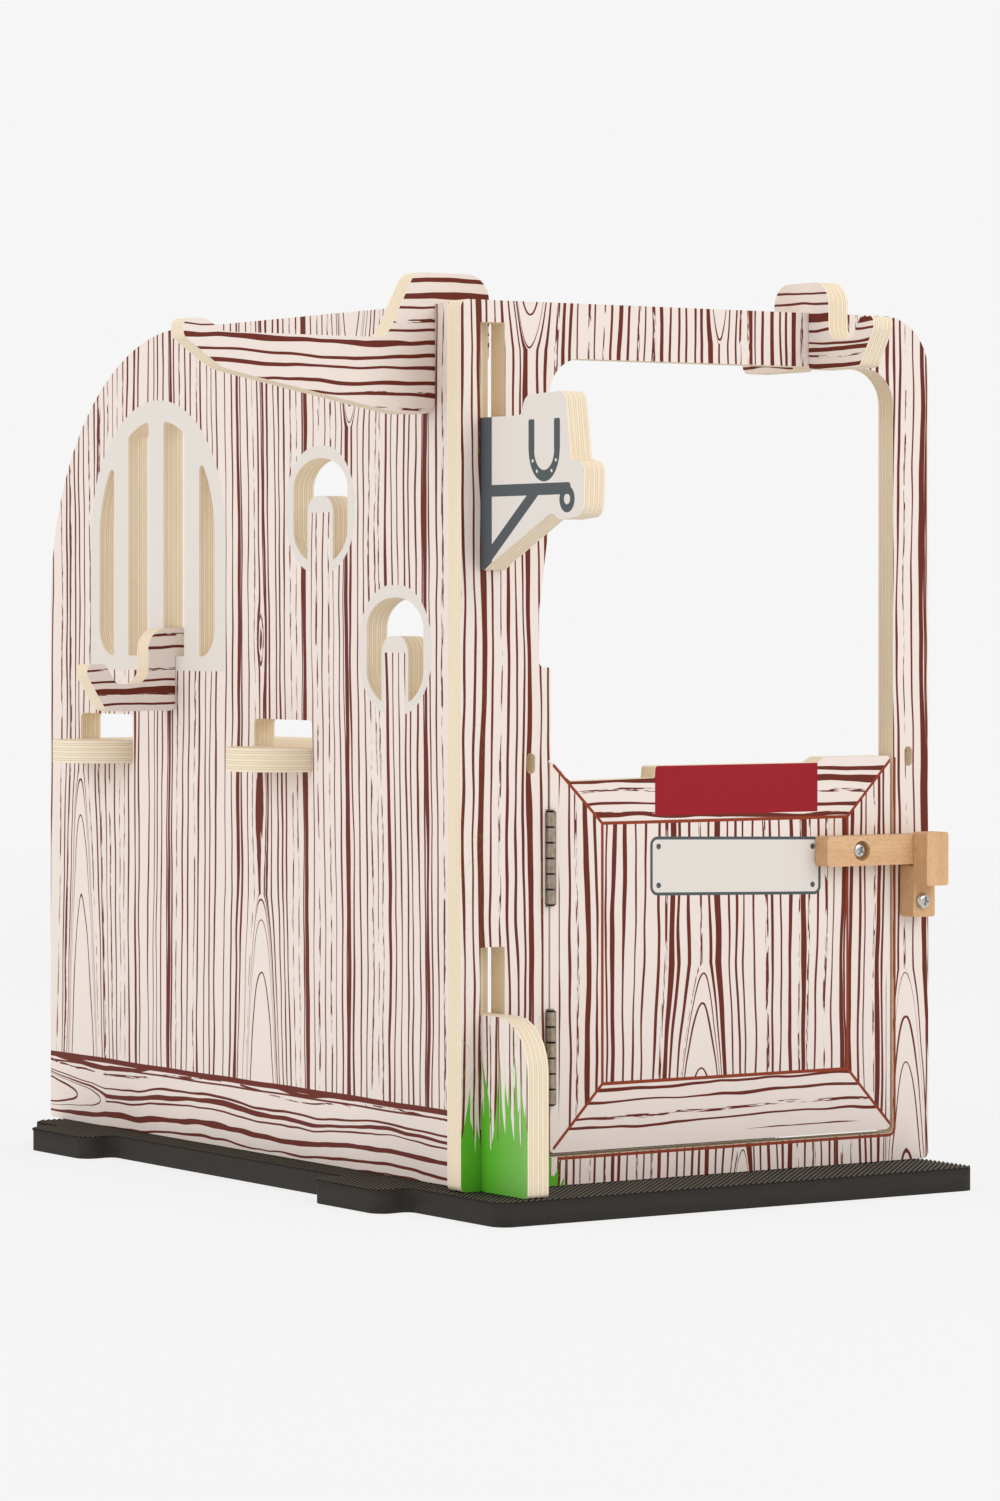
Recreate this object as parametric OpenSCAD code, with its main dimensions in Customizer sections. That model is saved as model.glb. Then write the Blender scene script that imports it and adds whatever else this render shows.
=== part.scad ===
// Toy horse stable, slotted together from plywood: a front panel with a hinged half door,
// a side wall that hooks into the panel, a shelf, three lift-off hangers and a foam mat.
// X runs along the front panel, -Y is the front and Z is up. All sizes are in millimetres.

/* [Plywood] */
// Thickness of every plywood piece
ply_t = 12; // [9:0.5:15]
// Play on each side of pieces that slot together
play = 0.3; // [0.2:0.05:0.5]

/* [Front panel] */
// Width of the front panel
panel_w = 282; // [260:1:340]
// Height of the front panel and the side wall
panel_h = 425; // [405:1:500]
// Radius of the panel's free top corner
panel_r = 28; // [5:1:50]
// Width of the post that carries the hinges
hinge_post_w = 50.2; // [47:0.1:70]
// Width of the post that carries the catch
latch_post_w = 22.5; // [19:0.1:40]
// Height of the bar above the opening
top_bar_h = 26.7; // [20:0.1:45]
// Height of the sill below the door
sill_h = 13.8; // [10:0.1:25]
// Radius of the opening's top corners
opening_r = 18; // [5:1:40]
// Height of the hinge post's notch above the mat
post_notch_z = 249.5; // [240:0.5:290]
// Height of the notch itself
post_notch_h = 27; // [15:0.5:35]
// Height over which the post widens again above the notch
post_notch_run = 44; // [30:1:60]
// Depth of the notch
post_notch_d = 6.7; // [3:0.1:10]
// Width of the cord holes
cord_hole_w = 5; // [3:0.5:6]
// Height of the cord holes
cord_hole_h = 10; // [8:0.5:20]
// Height of the cord holes' centres
cord_hole_z = 203.4; // [190:0.1:235]

/* [Half door] */
// Height of the door
door_h = 188; // [160:1:220]
// Gap under the door and on its latch side
door_gap = 2; // [1:0.1:3]
// Gap between the door and the hinge post
hinge_gap = 1; // [0.6:0.1:2]
// How far the door's low stretch lies under its top
door_dip = 9.5; // [4:0.5:12]
// How far the door's middle stretch lies under its top
door_step = 2.8; // [1:0.1:3.5]
// Distance of the low stretch's end from the door's hinge side
door_dip_end = 62; // [50:0.5:80]
// Distance of the high stretch from the door's latch side
door_step_end = 41.5; // [30:0.5:50]

/* [Butt hinges] */
// Length of each hinge
hinge_len = 45; // [36:1:55]
// Distance of the hinges from the door's ends
hinge_inset = 23.5; // [12:0.5:30]
// Number of interleaved knuckles on each hinge
knuckles = 6; // [4:1:8]
// Outer diameter of the knuckles
knuckle_d = 5; // [4.5:0.1:6]
// Distance of the hinge axis in front of the door
axis_out = 1.5; // [1.2:0.1:2]
// Play between neighbouring knuckles
knuckle_gap = 0.3; // [0.2:0.05:0.6]
// Thickness of the leaves
leaf_t = 1; // [0.8:0.1:1.3]
// Plywood left behind a leaf
leaf_back = 1; // [0.5:0.1:3]
// Diameter of the hinge pins
pin_d = 2.5; // [1.5:0.1:3]
// Radial play of pins and screws in their holes
pin_fit = 0.05; // [0.02:0.01:0.1]
// Diameter of the hinge screws
hinge_screw_d = 2.5; // [2:0.1:3]
// Head diameter of the hinge screws
hinge_screw_head = 4.8; // [4:0.1:5.6]
// Length of the hinge screws
hinge_screw_l = 12; // [8:0.5:16]
// Distance of the hinge screws from the ends of a leaf
hinge_screw_inset = 9; // [5:0.5:12]

/* [Latch] */
// Length of the turning latch bar
latch_l = 65.8; // [62:0.1:69]
// Height of the latch bar
latch_h = 15; // [13:0.5:20]
// Thickness of the latch bar
latch_t = 10.3; // [9:0.1:14]
// Gap between the latch bar and the door
latch_gap = 0.4; // [0.3:0.1:1]
// Distance of the latch pivot from the door's edge
pivot_in = 25.8; // [20:0.1:26.5]
// Height of the latch pivot above the door's bottom
pivot_up = 141.2; // [120:0.1:160]
// Distance of the latch pivot from the bar's free end
pivot_end = 21.6; // [18:0.1:24]
// Diameter of the latch and catch screws
screw_d = 4; // [3:0.1:5]
// Head diameter of the latch and catch screws
screw_head_d = 8; // [7:0.1:8.5]
// Head height of the latch and catch screws
screw_head_h = 2.6; // [2:0.1:3]
// Diameter of the bore that sinks the pivot screw's head
sink_d = 10; // [9:0.1:12]
// Depth of the bore that sinks the pivot screw's head
sink_depth = 4; // [3:0.1:5]
// How deep the latch and catch screws go into the plywood
screw_grip = 7.5; // [5:0.5:8]

/* [Catch] */
// Width of the catch blocks
catch_w = 13.6; // [12:0.1:14.5]
// Distance of the catch from the opening
catch_in = 4.4; // [3:0.1:4.4]
// Height of the catch base
base_h = 26.4; // [22:0.1:34]
// Height of the catch lip
lip_h = 26.8; // [20:0.1:34]
// Thickness of the catch lip
lip_t = 11; // [6:0.1:14]
// How far the lip is glued over the base
lip_lap = 10.2; // [6:0.1:12]
// Distance of the catch screw from the base's bottom
catch_screw_up = 8.1; // [6:0.1:9]

/* [Side wall] */
// Distance from the panel's front face to the wall's rear end
wall_l = 430; // [420:1:520]
// Distance of the wall from the panel's outer edge
wall_in = 11; // [8:0.5:14]
// Radius of the wall's rear top corner
wall_r = 144; // [40:1:150]

/* [Hook locks] */
// Sideways room for the wall's necks in the panel's slots
slot_room = 2; // [1:0.1:4]
// Height of the lower slot's bottom above the mat
lower_slot_z = 29.2; // [20:0.1:29.5]
// Distance of the upper slot's bottom from the panel's top
upper_slot_down = 97.5; // [95:0.5:110]
// Height of the lower hook tab
lower_tab_h = 84; // [70:1:88]
// Reach of the lower hook tab in front of the panel
lower_tab_reach = 40; // [30:1:43]
// How far the hooks reach down past the slots' bottoms
hook_drop = 31.5; // [30:0.1:34]
// Height of the upper neck
sign_neck_h = 41.2; // [30:0.1:44]
// Reach of the sign bracket in front of the panel
sign_reach = 87; // [80:1:110]

/* [Window] */
// Distance of the window's middle from the panel's front face
window_y = 313.4; // [300:0.1:330]
// Height of the window's sill above the mat
window_z = 253; // [240:1:260]
// Width of the window
window_w = 123; // [110:1:130]
// Height of the window
window_h = 124.5; // [100:0.5:125]
// Width of the window's upright bars
window_bar_w = 15.8; // [10:0.1:18]
// Distance between the middles of the window's bars
window_pitch = 37.7; // [34:0.1:40]
// Radius of the window's lower outer corners
window_r = 15; // [3:1:15]

/* [Tack hooks] */
// Distance of the front tack hook from the panel's front face
tack_y = 76.9; // [60:0.1:90]
// Height of the front tack hole's bottom
tack_z = 230; // [215:1:240]
// Distance to the rear tack hook, back and up alike
tack_step = 70; // [60:1:75]
// Width of a tack hole
tack_w = 52; // [44:1:56]
// Straight height of a tack hole
tack_straight = 20; // [12:1:26]
// Width of the tongue that tack hangs on
tongue_w = 24.5; // [18:0.5:28]
// Height of the tongue
tongue_h = 34.3; // [28:0.1:38]

/* [Shelf] */
// Distance of the shelf's front tab from the panel's front face
shelf_y = 183.1; // [170:0.1:190]
// Distance between the shelf's two tabs
shelf_step = 184; // [150:1:190]
// Height of the shelf's underside
shelf_z = 195.7; // [170:0.1:198]
// Width of the shelf's slots
shelf_slot_w = 57; // [40:1:60]
// Height of the shelf's slots
shelf_slot_h = 26; // [20:0.5:28]
// How far the tabs stand out of the wall
shelf_tab_out = 29; // [28.8:0.1:34]
// Depth of the shelf inside the stable
shelf_d = 100; // [60:1:120]
// How far the shelf's board runs past its slots
shelf_end = 12; // [5:1:20]

/* [Hangers] */
// Distance of the rug rail from the panel's front face
rail_y = 40; // [30:1:120]
// Reach of the rug rail from the wall's middle
rail_reach = 146; // [110:1:170]
// Depth of the rail's tip below its seat
rail_tip_down = 11; // [8:0.5:12]
// Depth of the rail's brace below its seat
rail_brace_h = 53.3; // [50:0.1:60]
// Reach of the rail's inner leg from the wall's middle
rail_leg_reach = 25; // [20:0.5:35]
// Distance of the top bar's hanger from the panel's outer edge
bar_hanger_x = 206.2; // [80:0.1:215]
// Distance of the window's hanger from the middle of its gap
window_hanger_off = 4; // [0:0.1:4.2]
// Height of a hanger's hump above its seat
hump_h = 15; // [12:0.5:20]
// Half width of a small hanger's hump
hump_half = 22.4; // [19:0.1:25]
// Depth of a hanger's legs below its seat
leg_h = 28.5; // [24:0.5:32]
// Reach of a small hanger from its middle
hanger_reach = 58.7; // [54:0.1:66]

/* [Foam mat] */
// Thickness of the mat
mat_t = 12; // [8:0.5:15]
// How far the mat reaches past the panel on the wall's side
mat_side = 7; // [0:1:20]
// How far the mat reaches in front of the panel
mat_front = 44; // [44:1:60]
// How far the panel hangs over the mat's other side
mat_side_short = 4; // [0:1:8]
// How far the wall hangs over the mat's rear
mat_rear_short = 12; // [0:1:20]
// Radius of the mat's corners
mat_r = 8; // [2:1:15]
// How far the jigsaw knobs stand out
knob_out = 19; // [16:1:24]
// Width of a knob's head
knob_head = 64; // [62:1:70]
// Width of a knob's neck
knob_neck = 58; // [44:1:60]
// Distance of the first knob from the mat's front edge
knob_y = 108; // [80:1:120]
// Distance between the two knobs
knob_step = 292; // [220:1:300]

/* [Hidden] */
$fn = 96;
// Overlap that keeps cuts clean
eps = 1;
// Largest sag of an arc's chords
sag = 0.02;

// Opening and door
opening_x = panel_w - latch_post_w;
opening_z = panel_h - top_bar_h;
door_x = hinge_post_w + hinge_gap;
door_end_x = opening_x - door_gap;
door_z = sill_h + door_gap;
door_top = door_z + door_h;
// Edges of the hinge post above the door and above its notch
post_step = hinge_post_w + 1.2;
post_top_x = post_step - 0.6;

// Hinges
axis_x = hinge_post_w + hinge_gap / 2;
knuckle_pitch = hinge_len / knuckles;
leaf_w = ply_t - leaf_back;
hinge_z = [door_z + hinge_inset, door_top - hinge_inset - hinge_len];
knuckle_room = knuckle_d / 2 + play;
pin_head_h = 0.6;

// Latch and catch
pivot_x = door_end_x - pivot_in;
pivot_z = door_z + pivot_up;
latch_x = pivot_x - pivot_end;
latch_z = pivot_z - latch_h / 2;
catch_x = opening_x + catch_in;
base_t = latch_t + latch_gap + play;
base_z = latch_z - play - base_h;
lip_z = latch_z - play - lip_lap;
catch_screw_x = catch_x + 5.6;

// Side wall and its locks
wall_x = wall_in + play;
wall_mid = wall_x + ply_t / 2;
wall_y = ply_t + play;
upper_slot_z = panel_h - upper_slot_down;
slot_h = lower_tab_h - lower_slot_z + hook_drop + 2 * play;
slot_w = ply_t + slot_room;
window_mid_z = window_z + window_h - window_w / 2;
outer_r = min(window_r, (window_w - window_bar_w) / 2 - window_pitch - 1);
window_gaps = [
    [-window_w / 2, -window_pitch - window_bar_w / 2, outer_r, 0.8],
    [-window_pitch + window_bar_w / 2, -window_bar_w / 2, 0.8, 0.8],
    [window_bar_w / 2, window_pitch - window_bar_w / 2, 0.8, 0.8],
    [window_pitch + window_bar_w / 2, window_w / 2, 0.8, outer_r]
];

// Shelf
shelf_tab_w = shelf_slot_w - 2 * play;
shelf_x = wall_x + ply_t;
shelf_from = shelf_y - shelf_slot_w / 2 - shelf_end;
shelf_to = shelf_y + shelf_step + shelf_slot_w / 2 + shelf_end;

// Mat
mat_end_x = panel_w - mat_side_short;
mat_end_y = wall_l - mat_rear_short;
// The origin lies under the middle of the mat
home = [(mat_side - mat_end_x) / 2, (mat_front - mat_end_y) / 2, mat_t];

birch = "wheat";
beech = "burlywood";
steel = "silver";

// Unit vector along v
function unit(v) = v / norm(v);

// Number of chords that keep an arc of radius r and angle a within the sag
function chords(r, a) = max(1, ceil(abs(a) / (2 * acos(1 - sag / max(r, 2 * sag)))));

// Points of an elliptic arc about c with half axes r, from angle a to angle b
function arc(c, r, a, b) =
    let (n = chords(max(r), b - a))
    [for (i = [0:n]) let (t = a + (b - a) * i / n) [c.x + r.x * cos(t), c.y + r.y * sin(t)]];

// Points that round the corner p, between its neighbours q and s, with radius r
function corner(q, p, s, r) =
    let (u = unit(q - p), v = unit(s - p))
    let (half = acos(u * v) / 2)
    let (d = min(r / tan(half), 0.49 * norm(q - p), 0.49 * norm(s - p)))
    let (k = d * tan(half), c = p + unit(u + v) * d / cos(half))
    let (from = p + u * d - c, to = p + v * d - c)
    let (a = atan2(from.y, from.x), turn = (atan2(to.y, to.x) - a + 540) % 360 - 180)
    arc(c, [k, k], a, a + turn);

// Outline whose corners are rounded; each entry is [x, y, corner radius]
function rounded(p) =
    let (n = len(p), flat = [for (q = p) [q.x, q.y]])
    [for (i = [0:n - 1])
        each p[i].z > 0
            ? corner(flat[(i + n - 1) % n], flat[i], flat[(i + 1) % n], p[i].z)
            : [flat[i]]];

// The points of p without those that repeat the one before
function distinct(p) = [for (i = [0:len(p) - 1]) if (norm(p[i] - p[(i + len(p) - 1) % len(p)]) > 0.001) p[i]];

// Outline of a box from a to b with corners of radius r
function box(a, b, r) = rounded([[a.x, a.y, r], [b.x, a.y, r], [b.x, b.y, r], [a.x, b.y, r]]);

// Outline of a slot from a to b: radius r above, nearly square below, where a piece rests in it
function rest_slot(a, b, r) = rounded([[a.x, a.y, play], [b.x, a.y, play], [b.x, b.y, r], [a.x, b.y, r]]);

// Places a piece so that the origin lies under the middle of the mat
module at_home() {
    translate(home)
        children();
}

// What a corner at p loses when it is rounded with radius r; s is the way it points
module corner_waste(p, s, r) {
    translate([p.x - s.x * r, p.y - s.y * r])
        mirror([s.x < 0 ? 1 : 0, 0])
            mirror([0, s.y < 0 ? 1 : 0])
                difference() {
                    square(r + eps);
                    circle(r);
                }
}

// Upright slot with round ends, w wide and h high, about its middle
module upright_slot(w, h) {
    for (s = [-1, 1])
        translate([0, s * (h - w) / 2])
            circle(d = w);
    square([w, h - w], center = true);
}

// Plate that stands across the stable, from y on back, drawn in X and Z
module across(y, t) {
    translate([0, y + t, 0])
        rotate([90, 0, 0])
            linear_extrude(t)
                children();
}

// Plate that stands along the stable, from x on, drawn in Y and Z
module along(x, t) {
    translate([x, 0, 0])
        rotate([90, 0, 90])
            linear_extrude(t)
                children();
}

// Countersunk screw along Z, its head's face at 0, grown by g for its hole
module countersunk(g) {
    head_r = hinge_screw_head / 2 + g;
    shank_r = hinge_screw_d / 2 + g;
    tip_l = hinge_screw_d;
    cylinder(h = head_r - shank_r, r1 = head_r, r2 = shank_r);
    cylinder(h = hinge_screw_l - tip_l, r = shank_r);
    translate([0, 0, hinge_screw_l - tip_l])
        cylinder(h = tip_l, r1 = shank_r, r2 = 0.3 + g);
}

// Pan head screw along Z, the head in front of 0 and a shank of length l behind it
module pan_screw(l) {
    r = screw_head_d / 2;
    h = screw_head_h;
    rotate_extrude()
        polygon(concat(
            [[0, l], [0, -h]],
            arc([0.45 * r, -0.4 * h], [0.55 * r, 0.6 * h], -90, 0),
            [[r, 0], [screw_d / 2, 0], [screw_d / 2, l - 1.5], [0.4, l]]
        ));
}

// Places the children at every screw of both hinges, on the post (-1) or the door (1)
module at_hinge_screws(side) {
    for (z = hinge_z, up = [hinge_screw_inset, hinge_len - hinge_screw_inset])
        translate([axis_x + side * hinge_gap / 2, ply_t / 2, z + up])
            rotate([0, side * 90, 0])
                children();
}

// Room for a hinge and its screws in the post's (-1) or the door's (1) edge
module hinge_pockets(side) {
    for (z = hinge_z) {
        translate([axis_x + (side < 0 ? -hinge_gap / 2 - leaf_t : 0), -eps, z - pin_fit])
            cube([leaf_t + hinge_gap / 2, leaf_w + pin_fit + eps, hinge_len + 2 * pin_fit]);
        translate([axis_x, -axis_out, z - pin_head_h - play])
            cylinder(r = knuckle_room, h = hinge_len + 2 * (pin_head_h + play));
    }
    at_hinge_screws(side)
        countersunk(pin_fit);
}

// Knuckles with the numbers first, first + 2 and so on, r in radius and g apart
module knuckle_row(first, r, g) {
    for (k = [first:2:knuckles - 1])
        translate([axis_x, -axis_out, k * knuckle_pitch + g / 2])
            cylinder(r = r, h = knuckle_pitch - g);
}

// Hinge leaf on the post (-1) or the door (1), from height z on up
module hinge_leaf(side, z) {
    own = side < 0 ? 0 : 1;
    difference() {
        translate([0, 0, z]) {
            difference() {
                translate([axis_x + (side < 0 ? -hinge_gap / 2 - leaf_t : hinge_gap / 2), 0, 0])
                    cube([leaf_t, leaf_w, hinge_len]);
                knuckle_row(1 - own, knuckle_room, 0);
            }
            difference() {
                knuckle_row(own, knuckle_d / 2, knuckle_gap);
                translate([axis_x, -axis_out, -eps])
                    cylinder(d = pin_d + 2 * pin_fit, h = hinge_len + 2 * eps);
            }
        }
        at_hinge_screws(side)
            countersunk(pin_fit);
    }
}

// Pin of the hinge that starts at height z, with a button head at each end
module hinge_pin(z) {
    translate([axis_x, -axis_out, z]) {
        cylinder(d = pin_d, h = hinge_len);
        for (end = [-pin_head_h, hinge_len])
            translate([0, 0, end])
                cylinder(d = pin_d + 1, h = pin_head_h);
    }
}

// Outline of the opening with the hinge post's step and notch
module opening_outline() {
    difference() {
        polygon(rounded([
            [hinge_post_w, sill_h, 2],
            [opening_x, sill_h, 2],
            [opening_x, opening_z, 0],
            [post_top_x, opening_z, 0],
            [post_top_x, post_notch_z + post_notch_h + post_notch_run, 20],
            [post_step - post_notch_d, post_notch_z + post_notch_h, 15],
            [post_step - post_notch_d, post_notch_z, 3],
            [post_step, post_notch_z, 1.5],
            [post_step, door_top + 1, 0.8],
            [hinge_post_w, door_top + 1, 1]
        ]));
        corner_waste([post_top_x, opening_z], [-1, 1], opening_r);
        corner_waste([opening_x, opening_z], [1, 1], opening_r);
    }
}

module front_panel() {
    color(birch) at_home()
        difference() {
            across(0, ply_t)
                difference() {
                    polygon(rounded([[0, 0, 3], [panel_w, 0, 3], [panel_w, panel_h, 0], [0, panel_h, 4]]));
                    corner_waste([panel_w, panel_h], [1, 1], panel_r);
                    opening_outline();
                    for (z = [lower_slot_z, upper_slot_z])
                        polygon(rest_slot([wall_in, z], [wall_in + slot_w, z + slot_h], 0.8));
                    for (x = [hinge_post_w - 10.2, opening_x + 9.7])
                        translate([x, cord_hole_z])
                            upright_slot(cord_hole_w, cord_hole_h);
                }
            hinge_pockets(-1);
            translate([catch_screw_x, 0, base_z + catch_screw_up])
                rotate([-90, 0, 0])
                    translate([0, 0, -eps])
                        cylinder(d = screw_d + 2 * pin_fit, h = screw_grip + pin_fit + eps);
        }
}

// Sign bracket and its hook, from the panel's back through the slot to the front
function sign_points() = let (z = upper_slot_z) [
    [wall_y, z + sign_neck_h, 0],
    [-35, z + sign_neck_h, 4],
    [-37.5, z + sign_neck_h + 9.3, 8],
    [-sign_reach + 15.5, z + sign_neck_h + 10.5, 6],
    [-sign_reach + 11, z + 19.5, 2.5],
    [-sign_reach, z + 18, 5],
    [-sign_reach + 1, z - 7, 7],
    [-sign_reach + 20, z - 8.5, 5],
    [-sign_reach + 27, z - 4.9, 6],
    [-9, z - hook_drop + 3.4, 8],
    [-3, z - hook_drop, 2],
    [-play, z - hook_drop, 0],
    [-play, z + play, 0],
    [wall_y, z + play, 0]
];

// Lower hook tab, from the panel's back through the slot down to the mat
function tab_points() = [
    [wall_y, lower_tab_h, 0],
    [-lower_tab_reach, lower_tab_h, 26],
    [-lower_tab_reach, 0, 2],
    [-play, 0, 2],
    [-play, lower_slot_z + play, 0],
    [wall_y, lower_slot_z + play, 0]
];

// Window gap from y0 to y1 off the middle, under the round arch, with its lower corners' radii
function gap_points(y0, y1, r0, r1) =
    let (R = window_w / 2, f = 2.5)
    let (h0 = sqrt(max(0, pow(R - f, 2) - pow(y0 + f, 2))), h1 = sqrt(max(0, pow(R - f, 2) - pow(y1 - f, 2))))
    let (a0 = atan2(h0, y0 + f), a1 = atan2(h1, y1 - f), low = -(window_h - R))
    distinct(concat(
        arc([y0 + r0, low + r0], [r0, r0], -90, -180),
        arc([y0 + f, h0], [f, f], 180, a0),
        arc([0, 0], [R, R], a0, a1),
        arc([y1 - f, h1], [f, f], a1, 0),
        arc([y1 - r1, low + r1], [r1, r1], 0, -90)
    ));

// Tack hole: an upturned U about a tongue with a round top
module tack_hole() {
    r = tack_w / 2;
    difference() {
        polygon(concat(
            arc([0, 18 + tack_straight], [r, 15.3], 0, 180),
            arc([0, 18], [r, 18], 180, 360)
        ));
        polygon(rounded([
            [-tongue_w / 2, -eps, 0],
            [tongue_w / 2, -eps, 0],
            [tongue_w / 2, tongue_h, 9],
            [-tongue_w / 2, tongue_h, 9]
        ]));
    }
}

module side_wall() {
    color(birch) at_home()
        along(wall_x, ply_t)
            difference() {
                polygon(rounded(concat(
                    [[wall_y, 0, 2], [wall_l, 0, 3], [wall_l, panel_h, 0], [wall_y, panel_h, 2]],
                    sign_points(),
                    tab_points()
                )));
                corner_waste([wall_l, panel_h], [1, 1], wall_r);
                translate([window_y, window_mid_z])
                    for (g = window_gaps)
                        polygon(gap_points(g[0], g[1], g[2], g[3]));
                for (i = [0, 1]) {
                    translate([tack_y + i * tack_step, tack_z + i * tack_step])
                        tack_hole();
                    translate([shelf_y + i * shelf_step - shelf_slot_w / 2, shelf_z])
                        polygon(rest_slot([0, 0], [shelf_slot_w, shelf_slot_h], 3));
                }
            }
}

module inner_shelf() {
    r = shelf_tab_w / 2;
    color(birch) at_home()
        translate([0, 0, shelf_z])
            linear_extrude(ply_t) {
                polygon(rounded([
                    [shelf_x, shelf_from, 0],
                    [shelf_x + shelf_d, shelf_from, 30],
                    [shelf_x + shelf_d, shelf_to, 30],
                    [shelf_x, shelf_to, 0]
                ]));
                for (i = [0, 1])
                    translate([wall_x - shelf_tab_out + r, shelf_y + i * shelf_step]) {
                        circle(r);
                        translate([0, -r])
                            square([shelf_x - wall_x + shelf_tab_out - r + eps, 2 * r]);
                    }
            }
}

module half_door() {
    color(birch) at_home()
        difference() {
            across(0, ply_t)
                polygon(rounded([
                    [door_x, door_z, 2],
                    [door_end_x, door_z, 3],
                    [door_end_x, door_top, 2],
                    [door_end_x - door_step_end, door_top, 2],
                    [door_end_x - door_step_end - 4.5, door_top - door_step, 1.5],
                    [door_x + door_dip_end, door_top - door_step, 1.5],
                    [door_x + door_dip_end - 0.5, door_top - door_dip + 0.8, 1],
                    [door_x + 11.5, door_top - door_dip, 2],
                    [door_x + 2.4, door_top, 1.5],
                    [door_x, door_top, 0.8]
                ]));
            hinge_pockets(1);
            translate([pivot_x, 0, pivot_z])
                rotate([-90, 0, 0])
                    translate([0, 0, -eps])
                        cylinder(d = screw_d + 2 * pin_fit, h = screw_grip + pin_fit + eps);
        }
}

module upper_hinge_post_leaf() {
    color(steel) at_home()
        hinge_leaf(-1, hinge_z[1]);
}

module upper_hinge_door_leaf() {
    color(steel) at_home()
        hinge_leaf(1, hinge_z[1]);
}

module upper_hinge_pin() {
    color(steel) at_home()
        hinge_pin(hinge_z[1]);
}

module lower_hinge_post_leaf() {
    color(steel) at_home()
        hinge_leaf(-1, hinge_z[0]);
}

module lower_hinge_door_leaf() {
    color(steel) at_home()
        hinge_leaf(1, hinge_z[0]);
}

module lower_hinge_pin() {
    color(steel) at_home()
        hinge_pin(hinge_z[0]);
}

module hinge_post_screws() {
    color(steel) at_home()
        at_hinge_screws(-1)
            countersunk(0);
}

module hinge_door_screws() {
    color(steel) at_home()
        at_hinge_screws(1)
            countersunk(0);
}

module latch_bar() {
    color(beech) at_home()
        difference() {
            across(-latch_gap - latch_t, latch_t)
                polygon(box([latch_x, latch_z], [latch_x + latch_l, latch_z + latch_h], 2));
            translate([pivot_x, -latch_gap - latch_t, pivot_z])
                rotate([-90, 0, 0]) {
                    translate([0, 0, -eps])
                        cylinder(d = sink_d, h = sink_depth + eps);
                    cylinder(d = screw_d + 2 * pin_fit, h = latch_t + eps);
                }
        }
}

module latch_pivot_screw() {
    color(steel) at_home()
        translate([pivot_x, -latch_gap - latch_t + sink_depth - 0.1, pivot_z])
            rotate([-90, 0, 0])
                pan_screw(latch_t - sink_depth + latch_gap + 0.1 + screw_grip);
}

module catch_base() {
    color(beech) at_home()
        difference() {
            across(-base_t, base_t)
                polygon(box([catch_x, base_z], [catch_x + catch_w, base_z + base_h], 1.5));
            translate([catch_screw_x, -base_t - eps, base_z + catch_screw_up])
                rotate([-90, 0, 0])
                    cylinder(d = screw_d + 2 * pin_fit, h = base_t + 2 * eps);
        }
}

module catch_lip() {
    color(beech) at_home()
        across(-base_t - lip_t, lip_t)
            polygon(box([catch_x, lip_z], [catch_x + catch_w, lip_z + lip_h], 1.5));
}

module catch_screw() {
    color(steel) at_home()
        translate([catch_screw_x, -base_t, base_z + catch_screw_up])
            rotate([-90, 0, 0])
                pan_screw(base_t + screw_grip);
}

// Half outline of a small hanger, from its middle outwards, about its seat
function hanger_half() = [
    [ply_t / 2 + play, 0, 0],
    [ply_t / 2 + play, -leg_h, 3],
    [hanger_reach - 11.5, -leg_h, 5],
    [hanger_reach, -10, 4],
    [hanger_reach, -4, 4],
    [hanger_reach - 10.5, -4, 2.5],
    [hanger_reach - 17.5, -14.5, 5],
    [hump_half, -14.5, 8],
    [hump_half, hump_h, 11.5]
];

// Small hanger, the same on both sides, about the middle of its seat
module small_hanger() {
    half = hanger_half();
    polygon(rounded(concat(
        half,
        [for (i = [len(half) - 1:-1:0]) [-half[i].x, half[i].y, half[i].z]]
    )));
}

module rug_rail() {
    notch = ply_t / 2 + play;
    color(birch) at_home()
        across(rail_y, ply_t)
            translate([wall_mid, panel_h])
                polygon(rounded([
                    [notch, 0, 0],
                    [notch, -leg_h, 3],
                    [rail_leg_reach, -leg_h, 5],
                    [rail_leg_reach, hump_h, 13],
                    [-17.7, hump_h, 8],
                    [-34, -rail_tip_down - 6, 9],
                    [-rail_reach + 22, -rail_tip_down - 6, 6],
                    [-rail_reach + 11.7, -rail_tip_down, 4],
                    [-rail_reach, -rail_tip_down, 4.5],
                    [-rail_reach, -rail_tip_down - 8.5, 4],
                    [-rail_reach + 21, -rail_tip_down - 23.1, 25],
                    [-27, -rail_brace_h, 30],
                    [-notch, -rail_brace_h, 7],
                    [-notch, 0, 0]
                ]));
}

module bar_hanger() {
    color(birch) at_home()
        along(bar_hanger_x, ply_t)
            translate([ply_t / 2, panel_h])
                small_hanger();
}

module window_hanger() {
    color(birch) at_home()
        across(window_y - window_pitch / 2 + window_hanger_off - ply_t / 2, ply_t)
            translate([wall_mid, window_z])
                small_hanger();
}

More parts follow.
